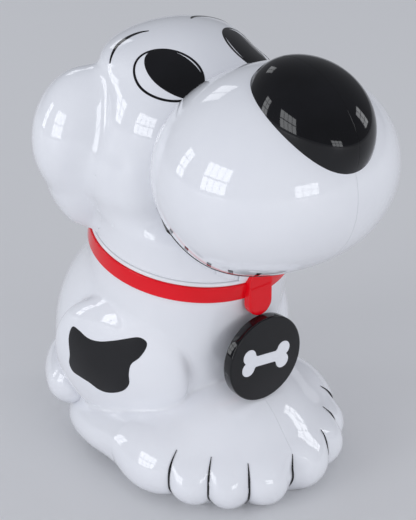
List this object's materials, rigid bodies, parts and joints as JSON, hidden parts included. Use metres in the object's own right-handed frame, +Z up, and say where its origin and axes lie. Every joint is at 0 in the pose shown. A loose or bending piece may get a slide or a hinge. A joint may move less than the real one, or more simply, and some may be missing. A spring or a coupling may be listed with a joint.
{
  "type": "dog treat jar",
  "caption": "Puppy shaped treat jar: the head lifts off as a sealed lid with a battery sound unit, and the sitting body holds a round food tub.",
  "frame": {"origin": "on the flat resting face, straight below the middle of the neck seam", "axes": "+Z up; the puppy looks along -Y; its own right side is -X"},
  "size_m": [0.1676, 0.2525, 0.2918],
  "materials": {
    "white_shell": "high gloss white",
    "white_tub": "satin white",
    "black_gloss": "high gloss black",
    "red_gloss": "gloss red",
    "grey_plastic": "fine matt",
    "dark_plastic": "fine matt",
    "steel": "bright zinc",
    "seal_rubber": "soft matt",
    "board_green": "solder mask",
    "cell_wrap": "printed sleeve, bare",
    "cone_paper": "treated paper",
    "clear_lens": "clear"
  },
  "bodies": {
    "jar": {"body_shell_right": "white_shell", "body_shell_left": "white_shell", "tail": "white_shell", "tub": "white_tub", "collar": "red_gloss", "tag_disc": "black_gloss", "base_cover": "grey_plastic", "base_screws": "steel"},
    "lid": {"head_front": "white_shell", "head_back": "white_shell", "muzzle_right": "white_shell", "muzzle_left": "white_shell", "nose_right": "black_gloss", "nose_left": "black_gloss", "ear_right": "white_shell", "ear_left": "white_shell", "mouth_grille": "white_shell", "lid_base": "grey_plastic", "lid_screws": "steel", "seal_ring": "seal_rubber", "battery_case": "dark_plastic", "battery_cells": "cell_wrap", "battery_contacts": "steel", "speaker_driver": "dark_plastic", "speaker_cone": "cone_paper", "speaker_bracket": "dark_plastic", "bracket_screws": "steel", "sound_board": "board_green", "sound_chip": "dark_plastic", "board_screws": "steel", "light_sensor": "clear_lens", "switch_body": "dark_plastic"},
    "battery_door": {"battery_door": "grey_plastic"},
    "switch_knob": {"switch_knob": "dark_plastic"}
  },
  "joints": [
    {"name": "lid_lift", "type": "slide", "parent": "jar", "child": "lid", "axis": [0, -0.1788, 0.9839], "range_m": [0, 0.12]},
    {"name": "battery_door_hinge", "type": "hinge", "parent": "lid", "child": "battery_door", "pos_m": [0, 0.02098, 0.15583], "axis": [1, 0, 0], "range_deg": [0, 100]},
    {"name": "power_switch_slide", "type": "slide", "parent": "lid", "child": "switch_knob", "axis": [0, 0.9839, 0.1788], "range_m": [0, 0.004]}
  ]
}
